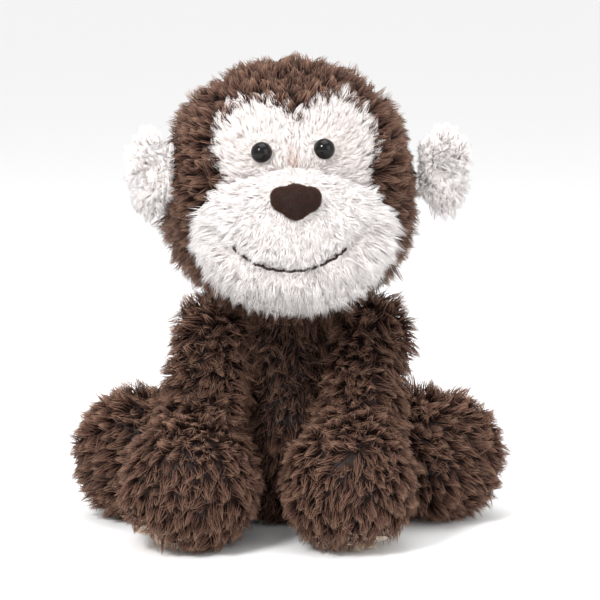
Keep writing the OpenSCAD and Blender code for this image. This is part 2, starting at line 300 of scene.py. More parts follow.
def subdivided(obj):
    fine = obj.modifiers.new("fine", "SUBSURF")
    fine.levels = 1
    fine.render_levels = 1
    bake_modifiers(obj)


SKINS = {
    "torso": (["torso_stuffing"], ["torso_front", "torso_back_left", "torso_back_right", "seat_panel"], 0.004, OUTSET),
    "head": (
        ["head_stuffing"],
        ["head_gusset", "head_side_left", "head_side_right", "face_left", "face_right"],
        0.004,
        OUTSET,
    ),
    "muzzle": (["muzzle_stuffing"], ["muzzle_upper", "chin"], 0.003, OUTSET),
    "arm_left": (["arm_left_stuffing"], ["arm_left_front", "arm_left_back", "palm_pad_left"], 0.004, OUTSET),
    "arm_right": (["arm_right_stuffing"], ["arm_right_front", "arm_right_back", "palm_pad_right"], 0.004, OUTSET),
    "leg_left": (["leg_left_stuffing"], ["leg_left_front", "leg_left_back"], 0.004, OUTSET),
    "leg_right": (["leg_right_stuffing"], ["leg_right_front", "leg_right_back"], 0.004, OUTSET),
    "ear_left": (["ear_left_front", "ear_left_back"], ["ear_left_front", "ear_left_back"], 0.0015, 0.0024),
    "ear_right": (["ear_right_front", "ear_right_back"], ["ear_right_front", "ear_right_back"], 0.0015, 0.0024),
    "tail": (["tail_stuffing"], ["tail_skin"], 0.0022, -0.0014),
    "neck": (["neck_band"], ["neck_band"], 0.0012, 0.0003),
}
BODY_OF = {"muzzle": "head", "nose": "head"}
PUFFED = ("torso", "head", "muzzle", "arm_left", "arm_right", "leg_left", "leg_right")

skins = {}
for name, (sources, panels, voxel, inset) in SKINS.items():
    skin = welded_copy(name + "_skin", sources)
    if name == "ear_left":
        set_places(skin.data, places(skin.data) + np.array([LEFT_EAR_SHIFT, 0.0, 0.0]))
    if name.startswith("leg"):
        s = name[4:]
        centre, radius = foot[s]
        for step in np.linspace(0.3, 1.0, 8):
            add_ball(skin, hip[s] + (centre - hip[s]) * step, (radius - 0.0062) * 0.94)
    if name.startswith("arm"):
        s = name[4:]
        toward_paw = paw_centre[s] - shoulder[s]
        for step in np.linspace(0.0, 0.62, 9):
            inward = (RIGHT * -SIDES[s] * 0.005 + UP * 0.003) * (1 - step)
            add_ball(skin, shoulder[s] + inward + toward_paw * step, 0.0122 + 0.0025 * step)
    if name == "torso":
        for side in (-1.0, 1.0):
            for step in np.linspace(0.0, 1.0, 5):
                add_ball(skin, (side * 0.021 * step, 0.0, 0.0855 + 0.003 * (1 - step)), 0.0168)
    skins[name] = remeshed(skin, voxel, 4, inset)

for name in PUFFED:
    pin_seams(skins[name], SKINS[name][1])
inflate([skins[name] for name in PUFFED])
for name in PUFFED:
    subdivided(skins[name])


def smile_distance(points):
    """How far each point lies from the smile, seen from the front, and the same only within its ends."""
    flat = points[:, [0, 2]] - smile_c
    ring = np.abs(np.linalg.norm(flat, axis=1) - smile_r)
    angle = np.abs(np.degrees(np.arctan2(flat[:, 0], -flat[:, 1])))
    return ring + np.maximum(angle - SMILE_END, 0) * 0.0006


def smile_shows(points):
    """1 where the stitches show between the locks, 0 where the pile hides them."""
    flat = points[:, [0, 2]] - smile_c
    angle = np.degrees(np.arctan2(flat[:, 0], -flat[:, 1]))
    out = np.zeros(len(points))
    for first, last in ((-37.0, -27.0), (-22.0, 6.0), (22.0, 40.0)):
        out = np.maximum(out, ease(angle, first - 2, first + 1) * ease(-angle, -last - 2, -last + 1))
    return out


# the smile is drawn in by its stitches
muzzle_mesh = skins["muzzle"].data
co = places(muzzle_mesh)
draw = 0.0042 * np.exp(-((smile_distance(co) / 0.0042) ** 2)) * ease(-co[:, 1], -muzzle_c[1], -muzzle_lo[1] - 0.02)
set_places(muzzle_mesh, co - draw[:, None] * vertex_normals(muzzle_mesh))

# the stuffing fills the muzzle out behind the nose, and the mask behind each eye
co = places(muzzle_mesh)
gap = np.linalg.norm((co - nose_c)[:, [0, 2]], axis=1)
swell = 0.0036 * np.exp(-((gap / 0.014) ** 2)) * (co[:, 1] < muzzle_c[1])
set_places(muzzle_mesh, co + swell[:, None] * vertex_normals(muzzle_mesh))
head_mesh = skins["head"].data
co = places(head_mesh)
swell = np.zeros(len(co))
for s in SIDES:
    gap = np.linalg.norm((co - eye_c[s])[:, [0, 2]], axis=1)
    swell = np.maximum(swell, 0.003 * np.exp(-((gap / 0.01) ** 2)) * (co[:, 1] < head_c[1]))
set_places(head_mesh, co + swell[:, None] * vertex_normals(head_mesh))

# each ear is cupped
for s in SIDES:
    ear_mesh = skins[f"ear_{s}"].data
    co, no = places(ear_mesh), vertex_normals(ear_mesh)
    middle = (co.min(0) + co.max(0)) / 2
    far = np.linalg.norm((co - middle)[:, [0, 2]] / np.array([0.008, 0.014]), axis=1)
    cup = 0.0022 * np.exp(-(far**2)) * (no[:, 1] < -0.3)
    set_places(ear_mesh, co - cup[:, None] * no)

trees = {name: mesh_tree(obj.data) for name, obj in skins.items()}


def buried(points, name, depth=0.0):
    """True for points that lie inside a skin by more than depth."""
    out = np.zeros(len(points), bool)
    tree = trees[name]
    for i, p in enumerate(points):
        place, normal, _, distance = tree.find_nearest(Vector(p))
        out[i] = (Vector(p) - place).dot(normal) < 0 and distance > depth
    return out


# ---------- strands ----------


def built(name, vertices, loops, starts, uvs):
    """A mesh object from plain arrays."""
    mesh = bpy.data.meshes.new(name)
    mesh.vertices.add(len(vertices))
    mesh.vertices.foreach_set("co", vertices.astype(np.float32).ravel())
    mesh.loops.add(len(loops))
    mesh.loops.foreach_set("vertex_index", loops.astype(np.int32))
    mesh.polygons.add(len(starts))
    mesh.polygons.foreach_set("loop_start", starts.astype(np.int32))
    mesh.polygons.foreach_set("use_smooth", np.ones(len(starts), bool))
    layer = mesh.uv_layers.new(name=UV_NAME)
    layer.data.foreach_set("uv", uvs.astype(np.float32).ravel())
    mesh.update(calc_edges=True)
    obj = bpy.data.objects.new(name, mesh)
    bpy.context.scene.collection.objects.link(obj)
    return obj


def sampled(mesh, chosen, count, weight):
    """Random roots on the chosen triangles of a skin, with their normals. weight(points) is the density."""
    mesh.calc_loop_triangles()
    tris = np.zeros(len(mesh.loop_triangles) * 3, np.int32)
    mesh.loop_triangles.foreach_get("vertices", tris)
    owner = np.zeros(len(mesh.loop_triangles), np.int32)
    mesh.loop_triangles.foreach_get("polygon_index", owner)
    tris = tris.reshape(-1, 3)[chosen[owner]]
    co, no = places(mesh), vertex_normals(mesh)
    a, b, c = co[tris[:, 0]], co[tris[:, 1]], co[tris[:, 2]]
    area = np.linalg.norm(np.cross(b - a, c - a), axis=1) / 2
    share = area * weight((a + b + c) / 3)
    pick = rng.choice(len(tris), size=count, p=share / share.sum())
    r1, r2 = np.sqrt(rng.random(count))[:, None], rng.random(count)[:, None]
    w = (1 - r1, r1 * (1 - r2), r1 * r2)
    root = w[0] * a[pick] + w[1] * b[pick] + w[2] * c[pick]
    normal = unit(w[0] * no[tris[pick, 0]] + w[1] * no[tris[pick, 1]] + w[2] * no[tris[pick, 2]])
    return root, normal, area.sum()


def backing(mesh, chosen, tone):
    """The panel's cloth: its faces, the same faces CLOTH_T deeper, and the rim between them."""
    co, no = places(mesh), vertex_normals(mesh)
    faces = [tuple(p.vertices) for p, yes in zip(mesh.polygons, chosen) if yes]
    used = np.unique(np.concatenate([np.array(f) for f in faces]))
    index = {int(v): i for i, v in enumerate(used)}
    n = len(used)
    outer = co[used]
    outer[:, 2] = np.maximum(outer[:, 2], FLOOR_GAP)
    inner = outer - CLOTH_T * no[used]
    inner[:, 2] = np.maximum(inner[:, 2], FLOOR_GAP)
    loops, sizes = [], []
    edges = {}
    for f in faces:
        ids = [index[v] for v in f]
        loops += ids + [i + n for i in reversed(ids)]
        sizes += [len(ids), len(ids)]
        for a, b in zip(ids, ids[1:] + ids[:1]):
            edges[(a, b)] = edges.get((a, b), 0) + 1
    for a, b in edges:
        if (b, a) not in edges:
            loops += [b, a, a + n, b + n]
            sizes.append(4)
    loops = np.array(loops)
    vertices = np.vstack([outer, inner])
    shade = tone(vertices)
    uv = np.stack([shade[loops], np.full(len(loops), 0.01)], axis=1)
    corner = np.arange(len(loops)) % 4
    uv[:, 0] += (corner % 2) * 0.003
    uv[:, 1] += (corner // 2) * 0.006
    return vertices, loops, np.array(sizes), uv


def strands(root, normal, area, groom):
    """Closed tapered strands from the roots: vertices, corner list, face sizes and UVs."""
    n = len(root)
    lift = groom["lift"](root)[:, None]
    length = groom["length"](root)
    flow = along_skin(normal, groom["flow"](root, normal))
    locks = max(8, int(area / (groom["lock_mm2"] * 1e-6)))
    chief = rng.choice(n, size=min(locks, n), replace=False)
    tree = KDTree(len(chief))
    for i, k in enumerate(chief):
        tree.insert(Vector(root[k]), i)
    tree.balance()
    mine = np.array([tree.find(Vector(p))[1] for p in root])
    lock_turn = rng.normal(0, groom["lock_turn"], (len(chief), 3))
    lock_size = 1 + rng.normal(0, 0.13, len(chief))
    lock_shade = rng.normal(0, groom["lock_shade"], len(chief))
    heading = unit(normal * lift + flow * (1 - lift) + lock_turn[mine] + rng.normal(0, 0.1, (n, 3)))
    chief_heading = unit(normal[chief] * lift[chief] + flow[chief] * (1 - lift[chief]) + lock_turn)
    reach = length * lock_size[mine] * rng.uniform(0.72, 1.05, n)
    tip = root + heading * reach[:, None]
    chief_tip = root[chief] + chief_heading * (length[chief] * lock_size)[:, None]
    stray = rng.random(n) < 0.08
    pull = np.where(stray, 0.1, rng.uniform(0.6, 0.92, n))[:, None]
    tip = tip + (chief_tip[mine] - tip) * pull
    tip = tip + DOWN * (groom["droop"] * reach)[:, None]
    middle = root + heading * (reach * 0.5)[:, None] + normal * (reach * 0.07)[:, None]
    middle = middle + rng.normal(0, 0.00025, (n, 3))
    side = unit(np.cross(heading, rng.normal(0, 1, (n, 3))))
    other = np.cross(heading, side)
    width = groom["width"] * THICKEN * rng.uniform(0.75, 1.2, n)[:, None]
    vertices = np.zeros((n, 7, 3))
    for k in range(3):
        a = 2 * math.pi * k / 3
        spoke = side * math.cos(a) + other * math.sin(a)
        vertices[:, k] = root - normal * 0.0003 + spoke * width
        vertices[:, 3 + k] = middle + spoke * width * 0.8
    vertices[:, 6] = tip
    flatten = vertices[:, :, 2] < FLOOR_GAP
    vertices[:, :, 2][flatten] = FLOOR_GAP + 0.0002 * rng.random(int(flatten.sum()))
    pattern = np.array([0, 2, 1, 0, 1, 4, 3, 1, 2, 5, 4, 2, 0, 3, 5, 3, 4, 6, 4, 5, 6, 5, 3, 6])
    sizes = np.tile([3, 4, 4, 4, 3, 3, 3], n)
    loops = (pattern[None, :] + 7 * np.arange(n)[:, None]).ravel()
    shade = np.clip(groom["tone"](root) + lock_shade[mine] + rng.normal(0, groom["fleck"], n), 0.02, 0.98)
    point_u = shade[:, None] + np.array([-1, 0, 1, -1, 0, 1, 0]) * 0.004
    point_v = np.tile([0.0, 0.0, 0.0, 0.5, 0.5, 0.5, 1.0], (n, 1))
    uv = np.stack([point_u[:, pattern].ravel(), point_v[:, pattern].ravel()], axis=1)
    return vertices.reshape(-1, 3), loops, sizes, uv


def plush_panel(node, skin_name, chosen, groom, count, material):
    """One panel's cloth and pile as one piece that stands for its CAD node."""
    mesh = skins[skin_name].data
    root, normal, area = sampled(mesh, chosen, int(count * DENSITY), groom["density"])
    keep = ~groom["skip"](root)
    root, normal = root[keep], normal[keep]
    v1, l1, s1, u1 = backing(mesh, chosen, groom["tone"])
    v2, l2, s2, u2 = strands(root, normal, area, groom)
    sizes = np.concatenate([s1, s2])
    starts = np.concatenate([[0], np.cumsum(sizes)[:-1]])
    obj = built(
        node + "_plush",
        np.vstack([v1, v2]),
        np.concatenate([l1, l2 + len(v1)]),
        starts,
        np.vstack([u1, u2]),
    )
    obj.data.materials.append(material)
    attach(obj, BODY_OF.get(skin_name, node_body[node]))
    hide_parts(node)
    return obj


node_body = {n: body for body, nodes in frame["record"]["behaviour"]["bodies"].items() for n in nodes}


# ---------- materials ----------


def new_material(name):
    material = bpy.data.materials.new(name)
    material.use_nodes = True
    nodes, links = material.node_tree.nodes, material.node_tree.links
    return material, nodes, links, nodes["Principled BSDF"]


def ramp(nodes, stops):
    """A colour ramp through (place, linear colour) stops."""
    node = nodes.new("ShaderNodeValToRGB")
    elements = node.color_ramp.elements
    while len(elements) < len(stops):
        elements.new(0.5)
    for element, (place, colour) in zip(elements, stops):
        element.position = place
        element.color = (*colour, 1.0)
    return node


def srgb(*values):
    """Linear colour from 0-255 display values."""
    return tuple((v / 255 / 12.92) if v <= 10.31 else ((v / 255 + 0.055) / 1.055) ** 2.4 for v in values)


def pile_material(name, along, across, roughness, sheen, sheen_tint):
    """Plush pile: colour runs from root to tip, times a shade that differs between locks and regions; the regional
    shade holds painted light and shade.
    """
    material, nodes, links, shader = new_material(name)
    uv = nodes.new("ShaderNodeUVMap")
    uv.uv_map = UV_NAME
    split = nodes.new("ShaderNodeSeparateXYZ")
    links.new(uv.outputs["UV"], split.inputs[0])
    from_root = ramp(nodes, along)
    shade = ramp(nodes, across)
    links.new(split.outputs["Y"], from_root.inputs[0])
    links.new(split.outputs["X"], shade.inputs[0])
    mix = nodes.new("ShaderNodeMix")
    mix.data_type = "RGBA"
    mix.blend_type = "MULTIPLY"
    mix.inputs[0].default_value = 1.0
    links.new(from_root.outputs[0], mix.inputs[6])
    links.new(shade.outputs[0], mix.inputs[7])
    links.new(mix.outputs[2], shader.inputs["Base Color"])
    shader.inputs["Roughness"].default_value = roughness
    shader.inputs["Specular IOR Level"].default_value = 0.25
    shader.inputs["Sheen Weight"].default_value = sheen
    shader.inputs["Sheen Roughness"].default_value = 0.45
    shader.inputs["Sheen Tint"].default_value = (*sheen_tint, 1.0)
    return material


def woven_material(name, dark, light, scale, roughness, sheen=0.0, bump=0.3):
    """Cloth, fill or thread whose colour and relief vary in fine grains."""
    material, nodes, links, shader = new_material(name)
    where = nodes.new("ShaderNodeTexCoord")
    noise = nodes.new("ShaderNodeTexNoise")
    noise.inputs["Scale"].default_value = scale
    noise.inputs["Detail"].default_value = 4.0
    links.new(where.outputs["Object"], noise.inputs["Vector"])
    colours = ramp(nodes, [(0.3, dark), (0.7, light)])
    links.new(noise.outputs["Fac"], colours.inputs[0])
    links.new(colours.outputs[0], shader.inputs["Base Color"])
    relief = nodes.new("ShaderNodeBump")
    relief.inputs["Strength"].default_value = bump
    relief.inputs["Distance"].default_value = 0.0004
    links.new(noise.outputs["Fac"], relief.inputs["Height"])
    links.new(relief.outputs[0], shader.inputs["Normal"])
    shader.inputs["Roughness"].default_value = roughness
    shader.inputs["Specular IOR Level"].default_value = 0.3
    shader.inputs["Sheen Weight"].default_value = sheen
    return material


# Brown pile from root to tip over the fur's own brown: painted shade darkens the roots and backing deep in the pile,
# and a painted sheen lightens the tips.
BROWN_ROOT_SHADE_TIP_SHEEN = [
    (0.0, srgb(32, 19, 16)),
    (0.3, srgb(64, 41, 34)),
    (0.7, srgb(112, 80, 66)),
    (1.0, srgb(186, 150, 126)),
]
# scales colour by each strand's u: random lock tone, plus painted light and shade by region
SHADE_ACROSS = [(0.0, (0.36, 0.34, 0.34)), (0.5, (0.85, 0.83, 0.81)), (1.0, (1.0, 1.0, 1.0))]
WHITE_ALONG = [(0.0, srgb(240, 235, 232)), (0.4, srgb(245, 241, 240)), (1.0, srgb(249, 247, 246))]
WHITE_ACROSS = [
    (0.0, (0.7, 0.57, 0.52)),
    (0.3, (0.88, 0.84, 0.82)),
    (0.6, (0.97, 0.955, 0.95)),
    (1.0, (1.0, 1.0, 1.0)),
]
CREAM_ALONG = [(0.0, srgb(170, 146, 124)), (0.4, srgb(212, 192, 170)), (1.0, srgb(238, 226, 210))]
NOSE_ALONG = [(0.0, srgb(26, 13, 11)), (0.5, srgb(48, 25, 20)), (1.0, srgb(96, 58, 44))]

brown_pile = pile_material("brown_pile", BROWN_ROOT_SHADE_TIP_SHEEN, SHADE_ACROSS, 0.6, 0.08, srgb(200, 160, 140))
white_pile = pile_material("white_pile", WHITE_ALONG, WHITE_ACROSS, 0.75, 0.15, (1.0, 1.0, 1.0))
cream_pile = pile_material("cream_pile", CREAM_ALONG, WHITE_ACROSS, 0.72, 0.2, (1.0, 0.97, 0.93))
nose_pile = pile_material("nose_velour_pile", NOSE_ALONG, SHADE_ACROSS, 0.7, 0.2, srgb(220, 160, 130))
thread = woven_material("mouth_thread_twist", srgb(30, 18, 17), srgb(58, 38, 34), 900.0, 0.6)
polyester = woven_material("polyester_fibre", srgb(222, 220, 214), srgb(246, 245, 241), 220.0, 0.85, 0.3)
cotton = woven_material("pouch_weave", srgb(196, 182, 158), srgb(226, 214, 192), 700.0, 0.85, 0.2)
band_cloth = woven_material("brown_backing_cloth", srgb(44, 29, 25), srgb(66, 45, 38), 800.0, 0.85, 0.2)
washer_plastic = woven_material("washer_nylon", srgb(206, 204, 198), srgb(226, 224, 219), 300.0, 0.5, 0.0, 0.05)


def gloss_material(name, dark, light):
    """Hard black plastic with a very faint mottle."""
    material, nodes, links, shader = new_material(name)
    where = nodes.new("ShaderNodeTexCoord")
    noise = nodes.new("ShaderNodeTexNoise")
    noise.inputs["Scale"].default_value = 60.0
    links.new(where.outputs["Object"], noise.inputs["Vector"])
    colours = ramp(nodes, [(0.35, dark), (0.65, light)])
    links.new(noise.outputs["Fac"], colours.inputs[0])
    links.new(colours.outputs[0], shader.inputs["Base Color"])
    shader.inputs["Roughness"].default_value = 0.06
    shader.inputs["Specular IOR Level"].default_value = 0.24
    return material


eye_gloss = gloss_material("eye_gloss", srgb(7, 5, 6), srgb(14, 9, 9))


# ---------- how each region's pile lies ----------


def constant(value):
    return lambda p: np.full(len(p), float(value))


def never(p):
    return np.zeros(len(p), bool)


def groom_of(flow, lift, length, tone, **more):
    made = {
        "flow": flow,
        "lift": lift if callable(lift) else constant(lift),
        "length": length if callable(length) else constant(length),
        "tone": tone if callable(tone) else constant(tone),
        "density": lambda p: np.ones(len(p)),
        "skip": never,
        "lock_mm2": 13,
        "lock_turn": 0.24,
        "lock_shade": 0.09,
        "width": 0.00026,
        "droop": 0.06,
        "fleck": 0.03,
    }
    made.update(more)
    return made


def from_point(p, centre):
    return unit(p - centre)


def inside_muzzle(p):
    """Points of the head that the muzzle covers."""
    half = (muzzle_hi - muzzle_lo) / 2 - np.array([0.005, 0.0, 0.005])
    flat = (p - muzzle_c)[:, [0, 2]] / half[[0, 2]]
    return (np.linalg.norm(flat, axis=1) < 1.0) & (p[:, 1] < head_c[1] - 0.015)


def ear_root_of(s):
    lo, hi = corners(f"ear_{s}_front", f"ear_{s}_back")
    x = hi[0] if s == "left" else lo[0]
    return np.array([x, (lo[1] + hi[1]) / 2, (lo[2] + hi[2]) / 2])


ear_root = {s: ear_root_of(s) for s in SIDES}


def head_flow(p, n):
    away = from_point(p, muzzle_c + np.array([0.0, 0.0, 0.01]))
    back = ease(p[:, 1:2], head_c[1] - 0.02, head_c[1] + 0.05)
    low = ease(-p[:, 2:3], -head_c[2], -head_c[2] + 0.05)
    return away + DOWN * (0.25 + 1.1 * back + 0.5 * low)


def head_length(p):
    rim = np.linalg.norm((p - np.array([face_seam_x, head_c[1] - head_r, head_c[2] + 0.015]))[:, [0, 2]], axis=1)
    ears = np.min([np.linalg.norm(p - ear_root[s], axis=1) for s in SIDES], axis=0)
    near_face = np.where(p[:, 1] < head_c[1] - 0.02, ease(rim, 0.03, 0.052), 1.0)
    near_face = near_face - 0.3 * ease(p[:, 2], head_c[2] + 0.02, head_c[2] + 0.055)
    return (0.0092 + 0.0033 * near_face) * (0.5 + 0.5 * ease(ears, 0.016, 0.034))


def head_tone_lit_top(p):
    # painted light: the top of the head is lighter, as lit from above
    top = ease(p[:, 2], head_c[2] + 0.005, head_c[2] + 0.055)
    return 0.38 + 0.22 * top


def head_lift(p):
    top = ease(p[:, 2], head_c[2] + 0.02, head_c[2] + 0.055)
    brow = ease(-p[:, 1], -head_c[1] + 0.03, -head_c[1] + 0.048)
    return 0.55 - 0.17 * top * (1 - brow) + 0.15 * brow


head_groom = groom_of(head_flow, head_lift, head_length, head_tone_lit_top, skip=inside_muzzle)


def face_flow(p, n):
    away = from_point(p, nose_c + np.array([0.0, 0.012, -0.004]))
    part = np.sign(p[:, 0:1] - face_seam_x) * np.exp(-np.abs(p[:, 0:1] - face_seam_x) / 0.006)
    push = np.zeros((len(p), 3))
    for s in SIDES:
        gap = p - eye_c[s]
        gap[:, 1] = 0
        close = np.exp(-((np.linalg.norm(gap, axis=1, keepdims=True) / 0.009) ** 2))
        push += unit(gap) * close * 1.6
    return away * np.array([1.0, 0.4, 1.0]) + RIGHT * part * 0.35 + push


def eye_gap(p):
    return np.min([np.linalg.norm((p - eye_c[s])[:, [0, 2]], axis=1) for s in SIDES], axis=0)


def face_length(p):
    rise = ease(np.linalg.norm((p - eye_c["left"] / 2 - eye_c["right"] / 2)[:, [0, 2]], axis=1), 0.012, 0.034)
    return (0.0058 + 0.0016 * rise) * (0.62 + 0.38 * ease(eye_gap(p), 0.005, 0.011))


def face_skip(p):
    return inside_muzzle(p) | (eye_gap(p) < 0.0042)


def bridge_mark(p):
    """The faint tan crease where the mask's centre seam meets the muzzle."""
    gap = (p[:, [0, 2]] - np.array([face_seam_x, eye_mid[2] - 0.0065])) / np.array([0.0026, 0.0055])
    return np.exp(-np.sum(gap**2, axis=1))


eye_mid = (eye_c["left"] + eye_c["right"]) / 2
face_groom = groom_of(
    face_flow, 0.34, face_length, lambda p: 0.42 - 0.36 * bridge_mark(p), skip=face_skip, lock_mm2=9, lock_turn=0.13,
    lock_shade=0.03, width=0.00017, droop=0.0,
)


def muzzle_flow(p, n):
    away = from_point(p, nose_c + np.array([0.0, 0.02, 0.0]))
    below = ease(-p[:, 2:3], -muzzle_c[2], -muzzle_c[2] + 0.03)
    return away + DOWN * 0.35 * below


def muzzle_length(p):
    from_nose = np.linalg.norm((p - nose_c)[:, [0, 2]], axis=1)
    full = 0.0052 + 0.0055 * ease(from_nose, 0.012, 0.045)
    back = ease(p[:, 1], muzzle_lo[1] + 0.02, muzzle_c[1])
    at_smile = 0.6 - 0.2 * smile_shows(p) + 0.4 * ease(smile_distance(p), 0.0015, 0.008)
    return (full + 0.001 * back) * np.where(p[:, 1] < muzzle_c[1], at_smile, 1.0)


def muzzle_skip(p):
    at_nose = np.linalg.norm((p - nose_c)[:, [0, 2]] / np.array([0.0095, 0.0062]), axis=1) < 1.0
    at_smile = (smile_distance(p) < 0.0009) & (p[:, 1] < muzzle_c[1]) & (smile_shows(p) > 0.3)
    return (at_nose & (p[:, 1] < muzzle_c[1])) | at_smile | buried(p, "head", 0.001)


muzzle_groom = groom_of(
    muzzle_flow, 0.4, muzzle_length, lambda p: 0.62 - 0.5 * bridge_mark(p), skip=muzzle_skip, lock_mm2=10,
    lock_turn=0.14, lock_shade=0.03, width=0.00017, droop=0.02,
)


def in_sockets(p):
    """Torso skin that the limbs, the neck and the tail cover."""
    out = np.zeros(len(p), bool)
    for s in SIDES:
        out |= np.linalg.norm(p - shoulder[s], axis=1) < 0.0185
        out |= np.linalg.norm(p - hip[s], axis=1) < 0.0235
    return out | ((np.linalg.norm((p - neck_c)[:, :2], axis=1) < 0.012) & (p[:, 2] > 0.08))


def torso_flow(p, n):
    outward = p - np.array([0.0, 0.0, 0.05])
    outward[:, 2] = 0
    top = ease(p[:, 2:3], 0.075, 0.1)
    return DOWN * (1.0 - 0.6 * top) + unit(outward) * (0.25 + 0.5 * top)


def torso_length(p):
    return 0.0115 + 0.003 * ease(p[:, 2], 0.075, 0.095)


def torso_tone_painted_light(p):
    # painted light and shade: the lower belly is lightened where the front-top light falls, and the low base tone
    # darkens the torso, which sits in shadow
    lit_belly = np.exp(-((p[:, 0] / 0.03) ** 2)) * ease(-p[:, 1], 0.02, 0.04) * ease(-p[:, 2], -0.075, -0.04)
    return 0.24 + 0.5 * lit_belly


torso_groom = groom_of(torso_flow, 0.55, torso_length, torso_tone_painted_light, skip=in_sockets)
seat_groom = groom_of(torso_flow, 0.2, 0.005, 0.3, skip=in_sockets, droop=0.0)


def arm_grooms(s):
    lo, hi = corners(f"palm_pad_{s}")
    pad = (lo + hi) / 2
    paw = paw_centre[s]
    axis = unit(paw - shoulder[s])

    def flow(p, n):
        t = ease((p - shoulder[s]) @ axis, 0.02, 0.10)[:, None]
        outward = unit(p - paw) * t
        return axis * (1.0 - 0.5 * t) + DOWN * (0.45 - 0.2 * t) + outward * 0.5 + RIGHT * SIDES[s] * 0.1

    def length(p):
        gap = np.linalg.norm(p - shoulder[s], axis=1)
        upper = 0.001 * ease(gap, 0.012, 0.03) + 0.0045 * ease(p[:, 2], 0.092, 0.104)
        return 0.0105 + upper - 0.0022 * ease(gap, 0.06, 0.09)

    def tone(p):
        # painted light: lighter toward the paw and on its front, where the paws catch the light
        t = ease((p - shoulder[s]) @ axis, 0.06, 0.11)
        front = ease(-p[:, 1], -paw[1] + 0.005, -paw[1] + 0.03)
        return 0.38 + 0.14 * t + 0.14 * front

    def skip(p):
        return buried(p, "torso", 0.001) & (np.linalg.norm(p - shoulder[s], axis=1) < 0.02)

    def lift(p):
        return 0.5 + 0.25 * ease(p[:, 2], 0.092, 0.104)

    pile = groom_of(flow, lift, length, tone, skip=skip)
    palm = groom_of(lambda p, n: from_point(p, pad), 0.35, 0.007, 0.6, skip=skip, droop=0.0)
    return pile, palm


def leg_groom(s):
    centre, radius = foot[s]
    axis = unit(centre - hip[s])

    def ridge(p):
        across = np.abs((p - centre) @ unit(np.cross(axis, UP)))
        return np.exp(-((across / 0.006) ** 2)) * ease(p[:, 2], centre[2], centre[2] + 0.012)

    def flow(p, n):
        out = from_point(p, hip[s])
        return axis * 0.8 + out * 0.5 + DOWN * 0.3 * (1 - ridge(p)[:, None]) + UP * 1.2 * ridge(p)[:, None]

    def lift(p):
        return 0.5 + 0.35 * ridge(p)

    def length(p):
        outside = ease(np.abs(p[:, 0]), np.abs(centre[0]), np.abs(centre[0]) + radius)
        return 0.0112 + 0.002 * ridge(p) - 0.003 * outside

    def tone(p):
        # painted light: lighter along the top ridge and over the top of the foot, where the light from above falls
        return 0.46 + 0.2 * ridge(p) + 0.12 * ease(p[:, 2], centre[2], centre[2] + radius)

    def skip(p):
        return buried(p, "torso", 0.001)

    return groom_of(flow, lift, length, tone, skip=skip)


def ear_groom(s):
    root = ear_root[s]
    lo, hi = corners(f"ear_{s}_front", f"ear_{s}_back")
    middle = (lo + hi) / 2

    def flow(p, n):
        out = unit(p - middle)
        return out + RIGHT * SIDES[s] * 0.35

    def length(p):
        gap = np.linalg.norm(p - root, axis=1)
        return 0.0036 + 0.0034 * ease(gap, 0.004, 0.016)

    def tone(p):
        # painted shade: the cupped hollow on the ear's front is darker
        dish_shade = np.exp(-((np.linalg.norm((p - middle)[:, [0, 2]] / np.array([0.008, 0.014]), axis=1)) ** 2))
        return 0.72 - 0.4 * dish_shade * (p[:, 1] < middle[1])

    return groom_of(
        flow, 0.4, length, tone, lock_mm2=6, lock_turn=0.16, lock_shade=0.04, width=0.00016, droop=0.03
    )


def tail_flow(p, n):
    lo, hi = corners("tail_skin")
    centre = np.array([(lo[0] + hi[0]) / 2, (lo[1] + hi[1]) / 2, 0.0])
    around = np.cross(UP, unit(p - centre))
    return around * 0.8 + DOWN * 0.2 + unit(p - centre) * 0.2


tail_groom = groom_of(tail_flow, 0.45, 0.0075, 0.4)
neck_groom = groom_of(
    lambda p, n: DOWN + n * 0.2,
    lambda p: 0.35 + 0.35 * ease(p[:, 2], 0.103, 0.111),
    0.0125,
    0.2,
    skip=lambda p: np.linalg.norm((p - neck_c)[:, :2], axis=1) < 0.019,
)

arm_groom, palm_groom = {}, {}
for s in SIDES:
    arm_groom[s], palm_groom[s] = arm_grooms(s)

PANELS = {
    "torso_front": (torso_groom, 8000),
    "torso_back_left": (torso_groom, 6000),
    "torso_back_right": (torso_groom, 6000),
    "seat_panel": (seat_groom, 1200),
    "head_gusset": (head_groom, 13000),
    "head_side_left": (head_groom, 12000),
    "head_side_right": (head_groom, 12000),
    "face_left": (face_groom, 8000),
    "face_right": (face_groom, 8000),
    "muzzle_upper": (muzzle_groom, 13000),
    "chin": (muzzle_groom, 13000),
    "tail_skin": (tail_groom, 3500),
    "neck_band": (neck_groom, 4000),
}
for s in SIDES:
    PANELS[f"arm_{s}_front"] = (arm_groom[s], 9000)
    PANELS[f"arm_{s}_back"] = (arm_groom[s], 6500)
    PANELS[f"palm_pad_{s}"] = (palm_groom[s], 1800)
    PANELS[f"leg_{s}_front"] = (leg_groom(s), 7000)
    PANELS[f"leg_{s}_back"] = (leg_groom(s), 6500)
    PANELS[f"ear_{s}_front"] = (ear_groom(s), 4500)
    PANELS[f"ear_{s}_back"] = (ear_groom(s), 3500)

WHITE = ("face_left", "face_right", "muzzle_upper", "chin", "ear_left_front", "ear_left_back", "ear_right_front",
         "ear_right_back")

for skin_name, (sources, panels, voxel, inset) in SKINS.items():
    mesh = skins[skin_name].data
    label = nearest_panel(face_centres(mesh), panels)
    for i, node in enumerate(panels):
        groom, count = PANELS[node]
        if node in WHITE:
            material, slot = white_pile, "white_plush"
        elif node.startswith("palm"):
            material, slot = cream_pile, "cream_plush"
        else:
            material, slot = brown_pile, "brown_plush"
        plush_panel(node, skin_name, label == i, groom, count, material)


# ---------- nose, mouth and eyes ----------

